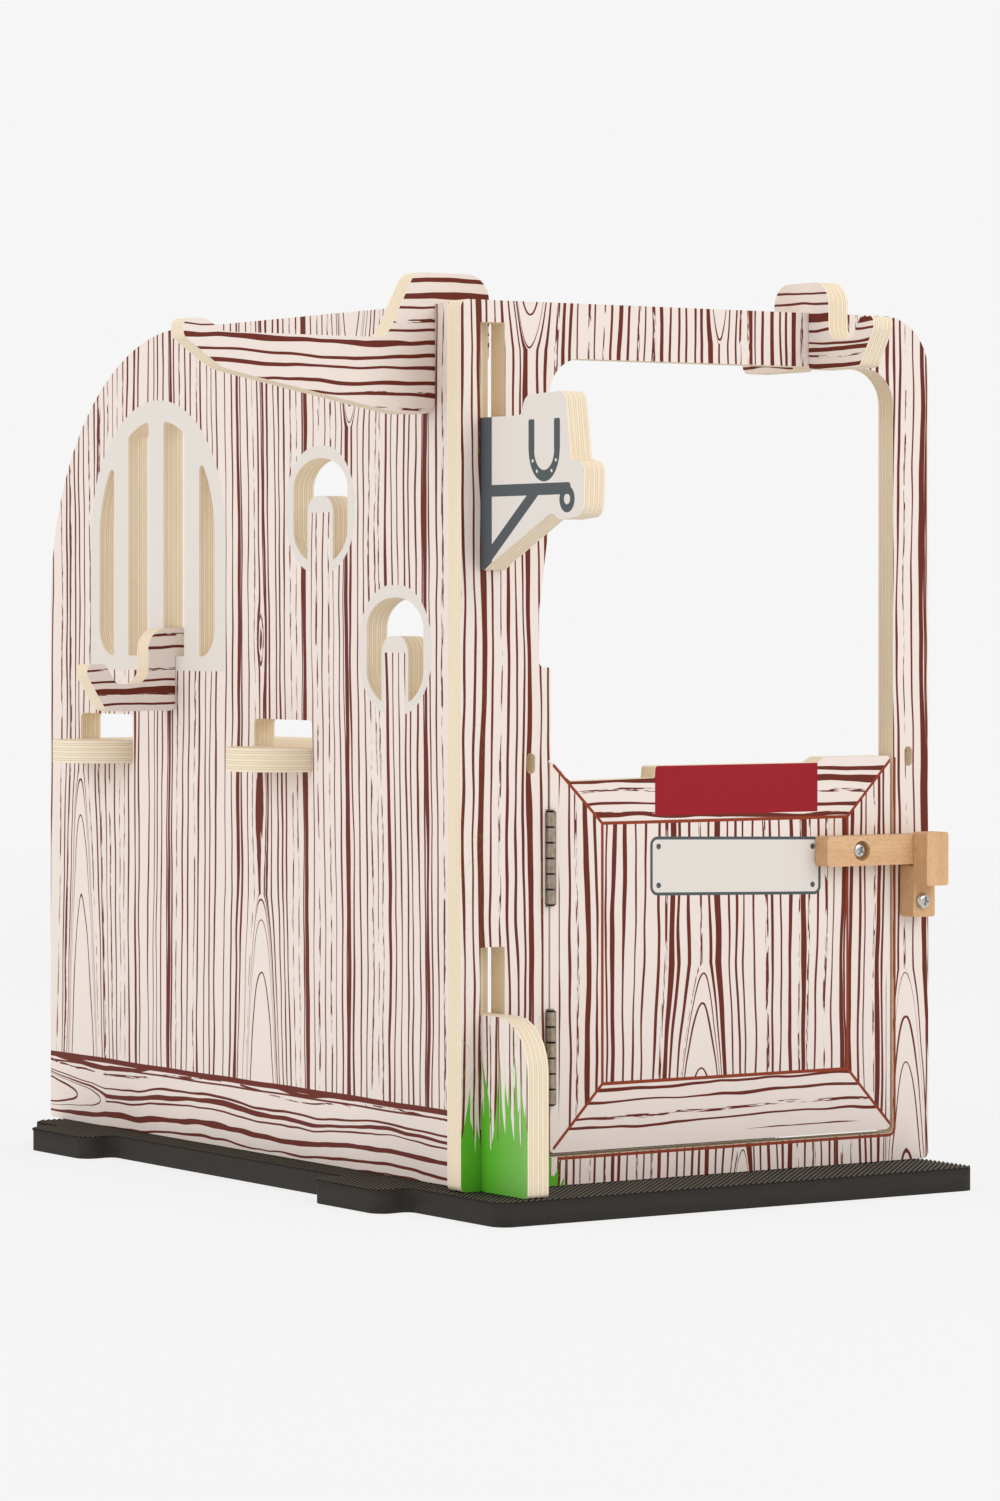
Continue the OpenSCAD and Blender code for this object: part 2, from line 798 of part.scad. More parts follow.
module floor_mat() {
    ys = [for (i = [0, 1]) knob_y - mat_front + i * knob_step];
    color([0.2, 0.19, 0.18]) at_home()
        translate([0, 0, -mat_t])
            linear_extrude(mat_t)
                polygon(rounded(concat(
                    [[-mat_side, -mat_front, mat_r], [mat_end_x, -mat_front, mat_r]],
                    [for (y = ys) each [
                        [mat_end_x, y - knob_neck / 2 - play, 5],
                        [mat_end_x - knob_out, y - knob_head / 2 - play, 10],
                        [mat_end_x - knob_out, y + knob_head / 2 + play, 10],
                        [mat_end_x, y + knob_neck / 2 + play, 5]
                    ]],
                    [[mat_end_x, mat_end_y, mat_r], [-mat_side, mat_end_y, mat_r]],
                    [for (i = [1, 0]) each [
                        [-mat_side, ys[i] + knob_neck / 2, 5],
                        [-mat_side - knob_out, ys[i] + knob_head / 2, 10],
                        [-mat_side - knob_out, ys[i] - knob_head / 2, 10],
                        [-mat_side, ys[i] - knob_neck / 2, 5]
                    ]]
                )));
}

floor_mat();
front_panel();
side_wall();
inner_shelf();
half_door();
upper_hinge_post_leaf();
upper_hinge_door_leaf();
upper_hinge_pin();
lower_hinge_post_leaf();
lower_hinge_door_leaf();
lower_hinge_pin();
hinge_post_screws();
hinge_door_screws();
latch_bar();
latch_pivot_screw();
catch_base();
catch_lip();
catch_screw();
rug_rail();
bar_hanger();
window_hanger();
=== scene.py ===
import math

import bmesh
import bpy
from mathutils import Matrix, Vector


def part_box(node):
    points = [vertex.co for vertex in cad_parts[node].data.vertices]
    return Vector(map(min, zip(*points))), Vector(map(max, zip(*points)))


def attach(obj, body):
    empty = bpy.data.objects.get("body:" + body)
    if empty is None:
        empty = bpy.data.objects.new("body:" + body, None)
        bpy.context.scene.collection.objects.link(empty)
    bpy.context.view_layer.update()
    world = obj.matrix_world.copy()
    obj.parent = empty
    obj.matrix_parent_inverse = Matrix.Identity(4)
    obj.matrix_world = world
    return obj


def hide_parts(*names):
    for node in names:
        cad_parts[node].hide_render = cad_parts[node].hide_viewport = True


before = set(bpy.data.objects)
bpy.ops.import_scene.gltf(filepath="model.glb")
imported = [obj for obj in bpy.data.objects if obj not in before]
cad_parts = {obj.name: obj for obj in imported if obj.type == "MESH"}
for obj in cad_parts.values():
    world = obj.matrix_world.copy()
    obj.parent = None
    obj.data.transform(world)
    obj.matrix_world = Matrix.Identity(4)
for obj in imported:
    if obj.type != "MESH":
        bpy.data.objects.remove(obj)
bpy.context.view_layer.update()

bl_info = {
    "name": "Toy stable dressing",
    "version": (1, 0, 0),
    "blender": (4, 5, 0),
    "location": "View3D > Sidebar > Stable",
    "description": "Printed boards, beech latch, hinges, screws, ribbed mat and studio for a plywood stable",
    "category": "Object",
}

# Every print is laid out in millimetres from the front panel's lower front corner
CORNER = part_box("front_panel")[0] * 1000
# Thickness of the plywood in millimetres
PLY = 12.0
# Knuckles round each hinge pin
KNUCKLES = 6
# Heights that are closer than this, in metres, count as equal
TOUCH = 1e-5


def in_mm(box):
    """Lower and upper corner of a CAD node's box in the prints' millimetres."""
    return [corner * 1000 - CORNER for corner in box]


def colour(red, green, blue):
    """Linear colour of an 8-bit sRGB colour."""
    return tuple((c / 12.92 if c <= 0.04045 else ((c + 0.055) / 1.055) ** 2.4)
                 for c in (red / 255, green / 255, blue / 255)) + (1.0,)


# ---------------------------------------------------------------- shader maths

class Value:
    """A number that varies over a surface: adding, multiplying and the like add Math nodes."""

    def __init__(self, finish, socket):
        self.finish = finish
        self.socket = socket

    def math(self, operation, *others, clamp=False):
        return self.finish.math(operation, self, *others, clamp=clamp)

    def __add__(self, other):
        return self.math("ADD", other)

    def __radd__(self, other):
        return self.math("ADD", other)

    def __sub__(self, other):
        return self.math("SUBTRACT", other)

    def __rsub__(self, other):
        return self.finish.math("SUBTRACT", other, self)

    def __mul__(self, other):
        return self.math("MULTIPLY", other)

    def __rmul__(self, other):
        return self.math("MULTIPLY", other)

    def __truediv__(self, other):
        return self.math("DIVIDE", other)

    def __neg__(self):
        return self.math("MULTIPLY", -1.0)

    def __abs__(self):
        return self.math("ABSOLUTE")

    def __gt__(self, other):
        return self.math("GREATER_THAN", other)

    def __lt__(self, other):
        return self.math("LESS_THAN", other)

    def floor(self):
        return self.math("FLOOR")

    def root(self):
        return self.math("SQRT")

    def exp(self):
        return self.math("EXPONENT")

    def high(self, other):
        return self.math("MAXIMUM", other)

    def low(self, other):
        return self.math("MINIMUM", other)

    def clamp(self):
        return self.math("ADD", 0.0, clamp=True)


class Finish:
    """A procedural material under construction."""

    def __init__(self, name):
        self.material = bpy.data.materials.new(name)
        self.material.use_nodes = True
        self.tree = self.material.node_tree
        self.tree.nodes.clear()

    def node(self, kind, settings=None, inputs=None, out=0):
        """Adds a node: its settings first, then the values or links of its sockets."""
        node = self.tree.nodes.new(kind)
        for key, value in (settings or {}).items():
            setattr(node, key, value)
        for key, value in (inputs or {}).items():
            if isinstance(value, Value):
                self.tree.links.new(value.socket, node.inputs[key])
            else:
                node.inputs[key].default_value = value
        return Value(self, node.outputs[out])

    def math(self, operation, *terms, clamp=False):
        return self.node("ShaderNodeMath", {"operation": operation, "use_clamp": clamp},
                         dict(enumerate(terms)))

    def vector(self, x, y, z):
        return self.node("ShaderNodeCombineXYZ", None, {0: x, 1: y, 2: z})

    def noise(self, x, y, z, detail=0.0, rough=0.5):
        """Smooth noise round 0, about -0.5 to 0.5."""
        place = self.vector(x, y, z)
        return self.node("ShaderNodeTexNoise", {"noise_dimensions": "3D"},
                         {"Vector": place, "Scale": 1.0, "Detail": detail, "Roughness": rough}) - 0.5

    def chances(self, number):
        """Three random numbers from 0 to 1 that belong to a whole number."""
        shade = self.node("ShaderNodeTexWhiteNoise", {"noise_dimensions": "1D"}, {"W": number}, "Color")
        split = self.node("ShaderNodeSeparateColor", None, {0: shade})
        return [Value(self, s) for s in split.socket.node.outputs]

    def mix(self, share, first, second):
        """Colour that goes from first to second as share goes from 0 to 1."""
        return self.node("ShaderNodeMix", {"data_type": "RGBA"}, {0: share, 6: first, 7: second}, 2)

    def place(self):
        """Place in millimetres from the front panel's lower front corner."""
        at = self.node("ShaderNodeTexCoord", None, None, "Object")
        split = self.node("ShaderNodeSeparateXYZ", None, {0: at}).socket.node
        return [Value(self, split.outputs[i]) * 1000.0 - CORNER[i] for i in range(3)]

    def surface(self, base, rough, metal=0.0, height=None, bump=0.3, depth=0.0001, **constants):
        """Ends the material in a Principled shader; returns the material."""
        inputs = {"Base Color": base, "Roughness": rough, "Metallic": metal}
        if height is not None:
            inputs["Normal"] = self.node("ShaderNodeBump", None,
                                         {"Strength": bump, "Distance": depth, "Height": height})
        inputs.update({k.replace("_", " ").title().replace("Ior", "IOR"): v for k, v in constants.items()})
        shader = self.node("ShaderNodeBsdfPrincipled", None, inputs)
        return self.show(shader)

    def show(self, shader):
        """Makes a shader the material's surface; returns the material."""
        out = self.tree.nodes.new("ShaderNodeOutputMaterial")
        self.tree.links.new(shader.socket, out.inputs["Surface"])
        return self.material


def soft_step(value, width=0.12):
    """0 where value is below 0 and 1 above it, over a short width in millimetres."""
    return (value / width + 0.5).clamp()


def round_box(x, y, box, radius):
    """Distance in millimetres from a rounded box (x0, y0, x1, y1): below 0 inside it."""
    cx, cy = (box[0] + box[2]) / 2, (box[1] + box[3]) / 2
    qx = abs(x - cx) - ((box[2] - box[0]) / 2 - radius)
    qy = abs(y - cy) - ((box[3] - box[1]) / 2 - radius)
    px, py = qx.high(0.0), qy.high(0.0)
    return (px * px + py * py).root() + qx.high(qy).low(0.0) - radius


def far_from(x, y, px, py):
    """Distance from a point."""
    dx, dy = x - px, y - py
    return (dx * dx + dy * dy).root()


def stroke(x, y, ends):
    """Distance from a straight stroke between two points."""
    (x0, y0), (x1, y1) = ends
    dx, dy = x1 - x0, y1 - y0
    long = dx * dx + dy * dy
    t = (((x - x0) * dx + (y - y0) * dy) / long).clamp()
    return far_from(x, y, x0 + t * dx, y0 + t * dy)


# ---------------------------------------------------------------- printed wood grain

def grain(finish, across, along, seed, pitch, sway=4.0, arches=(), knots=(), every=5.4, heavy=0.9,
          thin=(0.9, 1.9), thick=(2.0, 4.0), calm=1.0):
    """Share of ink in a print of wood grain: uneven lines that run along a board, part and close up again.

    An arch is (place across, place of its top along the board, width): its nested lines hang down from the
    top, or stand up from it where the width is below 0. A knot is (place across, place along, half width,
    half length). pitch is the distance between fine lines, and every says how many of them go to a heavy
    one. thin and thick are the least and greatest widths of the two, and heavy is the share of heavy lines
    that are drawn."""
    f = finish
    u = across + f.noise(across * 0.012, along * 0.0045 * calm, seed) * (2.2 * sway)
    u = u + f.noise(across * 0.07, along * 0.022 * calm, seed + 3.7, 1.0) * 3.0
    eye = None
    for x, y, rx, ry in knots:
        du, dv = (across - x) / rx, (along - y) / ry
        dv = dv + f.noise(across * 0.6, along * 0.09, seed + 8.0, 1.0) * 0.7
        far = du * du + dv * dv
        u = u - (across - x) * (-far).exp() * 1.1
        ring = far.root()
        mark = soft_step(0.24 - ring, 0.05).high(soft_step(0.075 - abs(ring - 0.5), 0.05))
        eye = mark if eye is None else eye.high(mark)
    side, outer, slim = 0.0, 1.0, 1.0
    for centre, top, width in arches:
        off = u - centre
        drop = ((top - along) if width > 0 else (along - top)).high(0.0)
        square = off * off - drop * abs(width)
        inner = square < 0.0
        right = off > 0.0
        root = abs(square).root()
        # The lines' width is kept where an arch stretches them
        steep = (off * off + width * width / 4).root() / root.high(0.2)
        slim = slim * (inner * (steep.low(1.0).high(0.12) - 1.0) + 1.0)
        u = root * (right * 2.0 - 1.0 + inner * (2.3 - right * 2.0)) + centre * (1.0 - inner)
        side = inner * 57.0 + side
        outer = (1.0 - inner) * outer

    def lines(step, least, most, seed, present, ragged, loose=0.5):
        h = u / step
        number = h.floor()
        part = h - number - 0.5
        a, b, c = f.chances(number + side + seed)
        half = (b * (most - least) + least) / (2 * step)
        swell = f.noise(number * 3.17 + seed, along * 0.012, 0.5, 1.0)
        half = half * (swell * 1.7 + 1.0)
        drift = (a - 0.5) * 0.42 + f.noise(number * 7.3 + seed, along * 0.011 * calm, 4.5, 1.0) * loose
        worn = f.noise(number * 5.31 + seed, along * 0.06, across * 0.7, 2.0, 0.7)
        line = soft_step((half - abs(part - drift) / slim) * step, 0.16)
        gaps = soft_step(worn + 0.4 - (c > (1.0 - ragged)) * 0.38, 0.04)
        return line * gaps * (f.chances(number + side + seed + 91.0)[0] < present)

    ink = lines(pitch, *thin, seed, 0.94, 0.26)
    ink = ink.high(lines(pitch * every, *thick, seed + 17.0, heavy, 0.08, 0.6 / every) * outer)
    if eye is not None:
        ink = ink.high(eye)
    return ink


def plies(finish, thick, a, b, layers=9):
    """Colour and height of a plywood edge; thick runs from the printed face into the board."""
    f = finish
    h = thick / (PLY / layers)
    number = h.floor()
    part = h - number
    cross = (number * 0.5 + 0.01).math("FRACT") > 0.25
    fibre = f.noise(thick * 5.0, a * 0.09, b * 0.09, 2.0, 0.6)
    pores = f.noise(thick * 3.2, a * 1.3, b * 1.3, 1.0)
    shade = f.mix(cross, colour(246, 236, 218), colour(238, 224, 200))
    tint = (fibre * 0.9 + cross * pores * 0.5 + 0.28).clamp()
    shade = f.mix(tint, shade, colour(221, 199, 164))
    broad = f.noise(thick * 0.1, a * 0.02, b * 0.02, 1.0)
    shade = f.mix((broad + 0.2).clamp() * 0.5, shade, colour(222, 199, 162))
    glue = soft_step(abs(part - 0.5) - 0.39, 0.1)
    shade = f.mix(glue * 0.5, shade, colour(182, 150, 108))
    return shade, fibre * 0.6 - glue


def veneer(finish, across, along, seed):
    """Colour of a bare, sanded birch face."""
    f = finish
    broad = f.noise(across * 0.03, along * 0.004, seed, 2.0, 0.6)
    rays = f.noise(across * 0.9, along * 0.03, seed + 2.0, 2.0, 0.7)
    specks = f.noise(across * 1.6, along * 0.25, seed + 5.0)
    shade = f.mix((broad * 1.4 + 0.5).clamp(), colour(240, 226, 202), colour(224, 202, 168))
    shade = f.mix((rays * 0.9 + 0.15).clamp() * 0.7, shade, colour(206, 178, 138))
    return f.mix(soft_step(specks - 0.22, 0.1) * 0.35, shade, colour(176, 140, 100))


def printed_board(finish, thick, a, b, print_shade, back=None, across=None, along=None, seed=0.0):
    """Board with a print on its face, plies on its edges and bare birch, or a second print, on its back."""
    f = finish
    edge, relief = plies(f, thick, a, b)
    skin = 0.06
    face = thick < skin
    rear = thick > PLY - skin
    if back is None:
        back = veneer(f, across, along, seed)
    shade = f.mix(face, f.mix(rear, edge, back), print_shade)
    flat = face.high(rear)
    rough = 0.66 - face * 0.08 + f.noise(a * 0.4, b * 0.4, thick * 0.4, 2.0) * 0.08
    return f.surface(shade, rough, height=relief * (1.0 - flat), bump=0.25, depth=0.00015,
                     specular_ior_level=0.22)


def grass(finish, x, z, seed, tall):
    """Share of green in a tuft: rows of slim pointed blades, grown together at the foot."""
    tuft = None
    for step, reach, shift in ((6.6, 1.0, 0.0), (5.2, 0.82, 3.1), (4.4, 0.6, 7.7)):
        bend = finish.noise(x * 0.07, z * 0.02, seed + shift) * (z * (26.0 / tall))
        h = (x + bend + shift) / step
        number = h.floor()
        a, b, c = finish.chances(number + seed + shift)
        up = z / (tall * reach * (0.62 + 0.38 * a))
        lean = (b - 0.5) * up * 0.5
        half = (1.0 - up).high(0.0) * (0.55 + 0.3 * c)
        blade = soft_step((half - abs(h - number - 0.5 - lean)) * step, 0.25)
        tuft = blade if tuft is None else tuft.high(blade)
    return tuft


# ---------------------------------------------------------------- sizes and colours

class StablePrint(bpy.types.PropertyGroup):
    """The print on the boards."""
    ink: bpy.props.FloatVectorProperty(
        name="Ink", description="Colour of the printed grain lines", subtype="COLOR", size=4,
        min=0.0, max=1.0, default=colour(102, 36, 22))
    board: bpy.props.FloatVectorProperty(
        name="Board", description="Ground colour of the print", subtype="COLOR", size=4,
        min=0.0, max=1.0, default=colour(232, 219, 211))
    plain: bpy.props.FloatVectorProperty(
        name="Bands", description="Colour of the bands round the openings, the sign and the name plate",
        subtype="COLOR", size=4, min=0.0, max=1.0, default=colour(221, 214, 207))
    pitch: bpy.props.FloatProperty(
        name="Line spacing", description="Usual distance between two grain lines", unit="LENGTH",
        min=0.003, max=0.02, default=0.0058)
    red: bpy.props.FloatVectorProperty(
        name="Red block", description="Colour of the block at the door's top", subtype="COLOR", size=4,
        min=0.0, max=1.0, default=colour(150, 14, 30))
    sign: bpy.props.FloatVectorProperty(
        name="Sign", description="Colour of the sign's bracket and horseshoe", subtype="COLOR", size=4,
        min=0.0, max=1.0, default=colour(78, 84, 87))
    green: bpy.props.FloatVectorProperty(
        name="Grass", description="Colour of the grass", subtype="COLOR", size=4,
        min=0.0, max=1.0, default=colour(90, 174, 40))
    line: bpy.props.FloatVectorProperty(
        name="Frame lines", description="Colour of the lines round the door's frame", subtype="COLOR", size=4,
        min=0.0, max=1.0, default=colour(138, 56, 28))
    skirting: bpy.props.FloatProperty(
        name="Skirting", description="Height of the printed skirting board", unit="LENGTH",
        min=0.01, max=0.08, default=0.036)
    rail: bpy.props.FloatProperty(
        name="Door frame", description="Width of the door's printed frame", unit="LENGTH",
        min=0.01, max=0.05, default=0.029)


class StableFittings(bpy.types.PropertyGroup):
    """The latch, the catch, the screws and the hinges."""
    beech: bpy.props.FloatVectorProperty(
        name="Beech", description="Colour of the latch and catch", subtype="COLOR", size=4,
        min=0.0, max=1.0, default=colour(224, 184, 141))
    hinge: bpy.props.FloatVectorProperty(
        name="Hinge metal", description="Colour of the hinges", subtype="COLOR", size=4,
        min=0.0, max=1.0, default=colour(176, 164, 146))
    screw: bpy.props.FloatVectorProperty(
        name="Screw metal", description="Colour of the screws", subtype="COLOR", size=4,
        min=0.0, max=1.0, default=colour(205, 204, 200))
    recess: bpy.props.FloatProperty(
        name="Recess", description="Width of the arms of a screw's cross recess", unit="LENGTH",
        min=0.0004, max=0.002, default=0.0011)


class StableMat(bpy.types.PropertyGroup):
    """The foam mat."""
    foam: bpy.props.FloatVectorProperty(
        name="Foam", description="Colour of the foam", subtype="COLOR", size=4,
        min=0.0, max=1.0, default=colour(38, 34, 30))
    rib_pitch: bpy.props.FloatProperty(
        name="Rib spacing", description="Distance between the middles of two ribs", unit="LENGTH",
        min=0.001, max=0.01, default=0.0024)
    rib_height: bpy.props.FloatProperty(
        name="Rib height", description="Height of the ribs", unit="LENGTH",
        min=0.0002, max=0.002, default=0.0008)
    rib_turn: bpy.props.FloatProperty(
        name="Rib angle", description="Angle between the ribs and the front edge", subtype="ANGLE",
        min=0.0, max=math.pi, default=math.radians(45))


class StableStage(bpy.types.PropertyGroup):
    """Camera, lamps and backdrop."""
    lens: bpy.props.FloatProperty(
        name="Focal length", description="Focal length of the camera", subtype="DISTANCE_CAMERA",
        min=20.0, max=400.0, default=181.15)
    ground: bpy.props.FloatProperty(
        name="Backdrop", description="Brightness of the floor and backdrop in the picture", subtype="FACTOR",
        min=0.0, max=1.0, default=0.922)
    fill: bpy.props.FloatProperty(
        name="Fill", description="Strength of the light from all round", min=0.0, max=3.0, default=0.72)
    key: bpy.props.FloatProperty(
        name="Key", description="Power of the large lamp in front", unit="POWER",
        min=0.0, max=500.0, default=24.0)


# ---------------------------------------------------------------- finishes

def dress(node, material):
    """Gives a CAD node's material slots one finish."""
    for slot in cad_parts[node].material_slots:
        slot.material = material


def front_panel_finish(look):
    """Upright boards all over the front panel, with grass at the foot of the hinge post."""
    f = Finish("front_panel_print")
    x, y, z = f.place()
    ink = grain(f, x, z, 4.0, look.pitch * 820, every=5.6, thick=(1.6, 3.6),
                arches=((41.0, 402.0, -2.4), (268.0, 96.0, 1.6), (150.0, 408.0, -1.2), (166.0, 12.0, 1.3)))
    latch_edge = x - 280.6 + f.noise(z * 0.03, 0.0, 2.0) * 2.2
    edge = soft_step(0.45 - abs(latch_edge), 0.2)
    shade = f.mix(ink.high(edge), look.board, look.ink)
    # A line below the door and at its latch side, beside the opening's edge
    hinge_side, sill, latch_side, above = 50.2, 13.8, 259.5, 400.0
    beside = round_box(x, z, (hinge_side, sill, latch_side, above), 3.0) - 0.9
    shade = f.mix(soft_step(0.75 - abs(beside), 0.2) * (x > 56.0) * (z < 203.0), shade, look.line)
    # Grass left of the side wall's tab, and a lower tuft below the hinges that slopes down to the right
    tuft = grass(f, x, z, 3.0, 54.0) * (x < 14.0)
    low_tuft = grass(f, x * 1.3, z + (x - 50.0).high(0.0) * 2.6, 6.0, 30.0)
    tuft = tuft.high(low_tuft * (x > 44.0) * (x < 62.0))
    shade = f.mix(tuft, shade, look.green)
    return printed_board(f, y, x, z, shade, across=x, along=z, seed=2.0)


def side_wall_finish(look):
    """Upright boards over a skirting board, plain bands round the openings, and the sign in front."""
    f = Finish("side_wall_print")
    x, y, z = f.place()
    thick = x - in_mm(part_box("side_wall"))[0].x
    pitch = look.pitch * 1000
    skirt = look.skirting * 1000
    upright = grain(f, y, z, 21.0, pitch * 0.93, every=6.6, thin=(0.9, 1.6), thick=(1.7, 3.4),
                    arches=((206.0, 132.0, 2.6), (118.0, 368.0, -3.0), (395.0, 190.0, 1.6)),
                    knots=((205.0, 262.0, 5.0, 22.0), (206.0, 176.0, 6.5, 28.0)))
    level = grain(f, z, 430.0 - y, 33.0, pitch * 1.15, sway=6.0, every=2.2, thin=(0.8, 1.9),
                  thick=(1.4, 3.2), arches=((17.0, 62.0, 1.6),), calm=1.6)
    top = skirt + f.noise(y * 0.02, 0.0, 7.0) * 1.4
    # The skirting board ends at the front panel; in front of it are only the low tab and the sign
    behind = y > 5.0
    low = soft_step(top - z, 0.2) * behind
    ink = upright * (1.0 - low) + level * low
    ink = ink.high(soft_step(1.4 - abs(z - top + 1.0), 0.2) * behind)
    ink = ink.high(soft_step(0.5 - abs(z - top + 4.4), 0.2) * behind)

    # Plain bands round the window and the tack holes, but not on the tongues
    window_y, spring_z, foot_z, reach = 312.5, 316.2, 245.5, 71.85
    side, rise = y - window_y, (z - spring_z).high(0.0)
    arched = (side * side + rise * rise).root() - reach
    plain = soft_step(-arched, 0.3) * soft_step(z - foot_z, 0.3)
    for tongue_y, band in ((76.9, (43.5, 225.7, 110.5, 289.3)), (146.9, (113.8, 295.5, 180.4, 359.3))):
        hole = soft_step(-round_box(y, z, band, 30.0), 0.3)
        tongue = soft_step(9.5 - abs(y - tongue_y), 0.3) * soft_step(band[1] + 30.5 - z, 0.3)
        plain = plain.high(hole * (1.0 - tongue))
    sign_area = (1.0 - behind) * (z > 200.0)
    ink = ink * (1.0 - plain) * (1.0 - sign_area)

    # Low tab: grass, paler towards its tip as a painted highlight; sign: a wall bracket with a horseshoe
    # standing on its arm
    shade = f.mix(ink, f.mix(plain.high(sign_area), look.board, look.plain), look.ink)
    # Painted highlight: the grass on the tab turns a paler green towards its tip, standing in for glare
    painted_glare = ((-10.0 - y) / 34.0).clamp()
    shade = f.mix(grass(f, y + 60.0, z, 11.0, 70.0) * (1.0 - behind) * (z < 90.0), shade,
                  f.mix(painted_glare, look.green, colour(126, 186, 92)))
    post = round_box(y, z, (-9.5, 290.0, 6.0, 372.5), 0.5)
    arm = round_box(y, z, (-76.0, 330.8, 0.0, 336.4), 2.0)
    brace = stroke(y, z, ((-5.0, 301.0), (-47.0, 333.0))) - 3.0
    curl = abs(far_from(y, z, -73.0, 328.6) - 4.4) - 1.9
    shoe_y, shoe_z, shoe_high, shoe_wide = -54.0, 352.2, 12.4, 10.7
    ring = abs(far_from((y - shoe_y) / 0.86, z, 0.0, shoe_z) - shoe_high) - 2.7
    heel = round_box(abs(y - shoe_y), z, (8.2, 351.5, 13.2, 366.5), 1.0)
    shoe = ring.high(z - 352.6).low(heel)
    sign = post.low(arm).low(brace).low(curl).low(shoe)
    for nail in (205, 235, 305, 335):
        angle = math.radians(nail)
        nail_y, nail_z = shoe_y + shoe_wide * math.cos(angle), shoe_z + shoe_high * math.sin(angle)
        sign = sign.high(0.8 - far_from(y, z, nail_y, nail_z))
    shade = f.mix(soft_step(-sign, 0.2) * sign_area, shade, look.sign)
    return printed_board(f, thick, y, z, shade, across=y, along=z, seed=9.0)


def half_door_finish(look):
    """A framed board door: mitred rails and stiles round upright boards, a red block and a name plate."""
    f = Finish("half_door_print")
    x, y, z = f.place()
    pitch = look.pitch * 1000
    rail = look.rail * 1000
    # The frame's stiles and rails: each goes from 0 at its outer to 1 at its inner edge
    left, right = (x - 52.6) / rail, (258.6 - x) / (rail - 1.0)
    top, foot = (202.8 - z) / rail, (z - 17.4) / (rail + 1.2)
    ends, sides = top.low(foot), left.low(right)
    inside = ends.low(sides)
    centre = grain(f, x, z, 51.0, pitch, arches=((139.0, 104.0, 2.2),), every=4.6)
    stile = grain(f, x, z, 58.0, pitch * 0.86, every=4.0, thick=(2.0, 3.8))
    cross = grain(f, z, x, 66.0, pitch, sway=3.0, every=4.0, heavy=0.4, calm=1.6)
    middle = inside > 1.0
    level = (ends < sides) * (1.0 - middle)
    ink = centre * middle + cross * level + stile * (1.0 - middle) * (1.0 - level)
    shade = f.mix(ink * (inside > 0.12), look.board, look.ink)
    mitre = soft_step(0.75 - abs(ends - sides) * rail * 0.7, 0.2) * (inside > 0.0) * (inside < 1.0)
    line = soft_step(0.8 - abs(inside - 1.0) * rail, 0.2).high(mitre)
    shade = f.mix(line, shade, look.line)
    block = round_box(x, z, (112.8, 176.8, 211.9, 201.4), 0.6)
    shade = f.mix(soft_step(-block, 0.2), shade, look.red)
    # The plate hangs a little askew
    tilt = z + (x - 162.0) * 0.024
    plate = round_box(x, tilt, (110.2, 136.9, 213.6, 165.2), 4.0)
    shade = f.mix(soft_step(-plate, 0.2), shade, look.plain)
    rim = soft_step(0.75 - abs(plate + 0.5), 0.2)
    for rivet_x in (115.0, 208.8):
        for rivet_z in (141.6, 160.6):
            rim = rim.high(soft_step(1.4 - far_from(x, tilt, rivet_x, rivet_z), 0.2))
    shade = f.mix(rim, shade, look.sign)
    return printed_board(f, y, x, z, shade, across=x, along=z, seed=14.0)


def hanger_finish(look, node, axis, seed):
    """Grain that runs level along a hanger, printed on both faces; axis is the one through its board."""
    f = Finish(node + "_print")
    place = f.place()
    thick = place[axis] - in_mm(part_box(node))[0][axis]
    along, z = place[1 - axis], place[2]
    ink = grain(f, z, along, seed, look.pitch * 1050, sway=3.0, every=3.4, calm=1.8)
    shade = f.mix(ink, look.board, look.ink)
    return printed_board(f, thick, along, z, shade, back=shade)


def shelf_finish():
    """Bare birch: veneer above and below, plies on the edges."""
    f = Finish("bare_birch")
    x, y, z = f.place()
    thick = z - in_mm(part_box("inner_shelf"))[0].z
    return printed_board(f, thick, x, y, veneer(f, x, y, 31.0), across=x, along=y, seed=33.0)


def beech_finish(name, wood, level, seed):
    """Sanded beech: fine flecks and slow changes of tone, along x where it is level and else along z."""
    f = Finish(name)
    x, y, z = f.place()
    along, across = (x, z) if level else (z, x)
    tone = f.noise(across * 0.12, y * 0.12, along * 0.015 + seed, 2.0, 0.6)
    fibre = f.noise(across * 1.1, y * 1.1, along * 0.05 + seed, 3.0, 0.65)
    fleck = f.noise(across * 2.4, y * 2.4, along * 0.32 + seed)
    shade = f.mix((tone * 1.6 + 0.45).clamp(), wood, colour(206, 160, 112))
    shade = f.mix((fibre * 1.3 + 0.3).clamp() * 0.6, shade, colour(190, 142, 96))
    shade = f.mix(soft_step(fleck - 0.2, 0.06) * 0.5, shade, colour(160, 110, 70))
    return f.surface(shade, fibre * 0.12 + 0.5, height=fibre, bump=0.3, depth=0.0001, ior=1.45)


def metal_finish(name, metal, stain, rough, gap_shade=None):
    """Plated steel with faint wear and stains; gap_shade gives rings of painted shade, (first place,
    distance) along z, for the gaps between hinge knuckles.
    """
    f = Finish(name)
    x, y, z = f.place()
    broad = f.noise(x * 0.35, y * 0.35, z * 0.35, 3.0, 0.6)
    fine = f.noise(x * 2.2, y * 2.2, z * 2.2, 2.0)
    shade = f.mix((broad * 1.6 + 0.3).clamp() * stain, metal, colour(58, 50, 42))
    if gap_shade:
        # Painted shade: a dark ring where two knuckles meet stands in for the shade in the gap between them
        part = ((z - gap_shade[0]) / gap_shade[1] + 0.5).math("FRACT") - 0.5
        shade = f.mix(soft_step(0.45 - abs(part) * gap_shade[1], 0.3), shade, colour(30, 24, 20))
    return f.surface(shade, (broad * 0.25 + fine * 0.1 + rough).clamp(), 1.0,
                     height=fine, bump=0.15, depth=0.00005)


